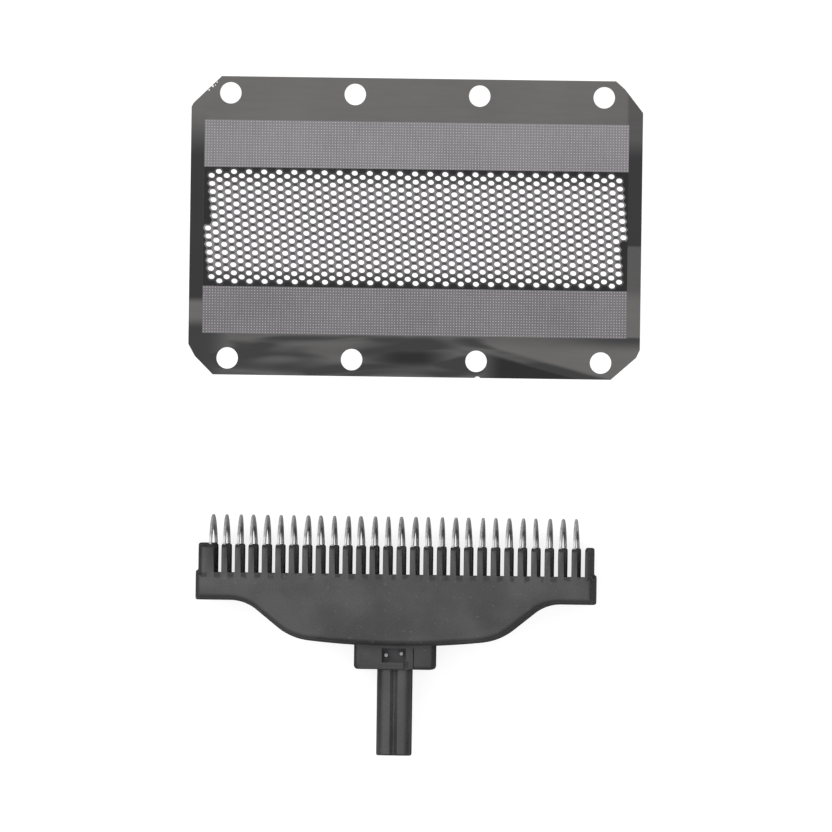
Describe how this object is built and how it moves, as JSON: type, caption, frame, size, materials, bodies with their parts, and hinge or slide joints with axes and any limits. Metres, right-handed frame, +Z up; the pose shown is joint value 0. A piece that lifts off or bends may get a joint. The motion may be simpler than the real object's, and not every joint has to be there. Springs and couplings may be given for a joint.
{
  "type": "shaver foil head",
  "caption": "Flat perforated shaver foil with pin holes beside its cutter: a moulded comb on a drive stem that holds a row of thin arched steel blades.",
  "frame": {"origin": "centre of the footprint of the two pieces, on the surface that they lie on", "axes": "+X along the comb and the foil's long edge, +Y from the drive stem to the foil, +Z up"},
  "size_m": [0.0452, 0.0676, 0.0092],
  "materials": {
    "foil_metal": "dark satin rolled sheet with etched, lighter bands",
    "black_plastic": "fine-grained black moulding",
    "blade_steel": "stamped and ground steel strip"
  },
  "bodies": {
    "root": {"foil": "foil_metal", "blade_carrier": "black_plastic", "blade_01": "blade_steel", "blade_02": "blade_steel", "blade_03": "blade_steel", "blade_04": "blade_steel", "blade_05": "blade_steel", "blade_06": "blade_steel", "blade_07": "blade_steel", "blade_08": "blade_steel", "blade_09": "blade_steel", "blade_10": "blade_steel", "blade_11": "blade_steel", "blade_12": "blade_steel", "blade_13": "blade_steel", "blade_14": "blade_steel", "blade_15": "blade_steel", "blade_16": "blade_steel", "blade_17": "blade_steel", "blade_18": "blade_steel", "blade_19": "blade_steel", "blade_20": "blade_steel", "blade_21": "blade_steel", "blade_22": "blade_steel", "blade_23": "blade_steel", "blade_24": "blade_steel", "blade_25": "blade_steel", "blade_26": "blade_steel", "blade_27": "blade_steel", "blade_28": "blade_steel"}
  },
  "joints": []
}
